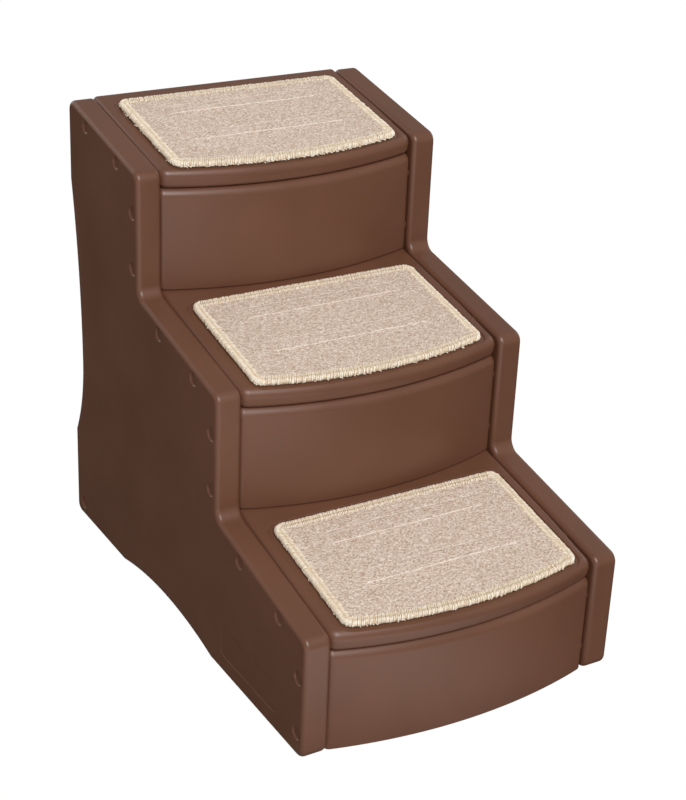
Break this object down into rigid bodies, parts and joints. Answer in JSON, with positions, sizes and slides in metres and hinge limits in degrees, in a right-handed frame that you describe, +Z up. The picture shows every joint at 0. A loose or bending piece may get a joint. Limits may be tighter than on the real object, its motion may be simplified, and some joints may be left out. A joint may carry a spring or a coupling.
{
  "type": "pet stairs",
  "caption": "Moulded pet stairs with bowed treads and risers plugged between two side panels, and a carpet mat held in each tread by hook and loop tape.",
  "frame": {"origin": "on the floor, in the middle of the footprint", "axes": "+X to the right as one climbs, +Y from the front towards the back, +Z up"},
  "size_m": [0.412, 0.6424, 0.5803],
  "materials": {
    "moulded_plastic": "satin chocolate brown moulded plastic with a very fine grain",
    "carpet": "short loop-pile carpet in beige with an overlocked cream edge",
    "hook_tape": "woven hook tape, dull",
    "loop_tape": "brushed loop tape, dull",
    "grip_rubber": "matt rubber"
  },
  "bodies": {
    "stairs": {"left_side_panel": "moulded_plastic", "right_side_panel": "moulded_plastic", "top_tread": "moulded_plastic", "middle_tread": "moulded_plastic", "bottom_tread": "moulded_plastic", "top_riser": "moulded_plastic", "middle_riser": "moulded_plastic", "bottom_riser": "moulded_plastic", "rear_brace": "moulded_plastic", "top_front_hook_tape": "hook_tape", "top_rear_hook_tape": "hook_tape", "middle_front_hook_tape": "hook_tape", "middle_rear_hook_tape": "hook_tape", "bottom_front_hook_tape": "hook_tape", "bottom_rear_hook_tape": "hook_tape", "left_front_grip_pad": "grip_rubber", "left_rear_grip_pad": "grip_rubber", "right_front_grip_pad": "grip_rubber", "right_rear_grip_pad": "grip_rubber"},
    "top_mat": {"top_mat": "carpet", "top_front_loop_tape": "loop_tape", "top_rear_loop_tape": "loop_tape"},
    "middle_mat": {"middle_mat": "carpet", "middle_front_loop_tape": "loop_tape", "middle_rear_loop_tape": "loop_tape"},
    "bottom_mat": {"bottom_mat": "carpet", "bottom_front_loop_tape": "loop_tape", "bottom_rear_loop_tape": "loop_tape"}
  },
  "joints": [
    {"name": "top_mat_lift", "type": "slide", "parent": "stairs", "child": "top_mat", "axis": [0, -0.2096, 0.9778], "range_m": [0, 0.12]},
    {"name": "middle_mat_lift", "type": "slide", "parent": "stairs", "child": "middle_mat", "axis": [0, -0.2096, 0.9778], "range_m": [0, 0.12]},
    {"name": "bottom_mat_lift", "type": "slide", "parent": "stairs", "child": "bottom_mat", "axis": [0, -0.2096, 0.9778], "range_m": [0, 0.12]}
  ]
}
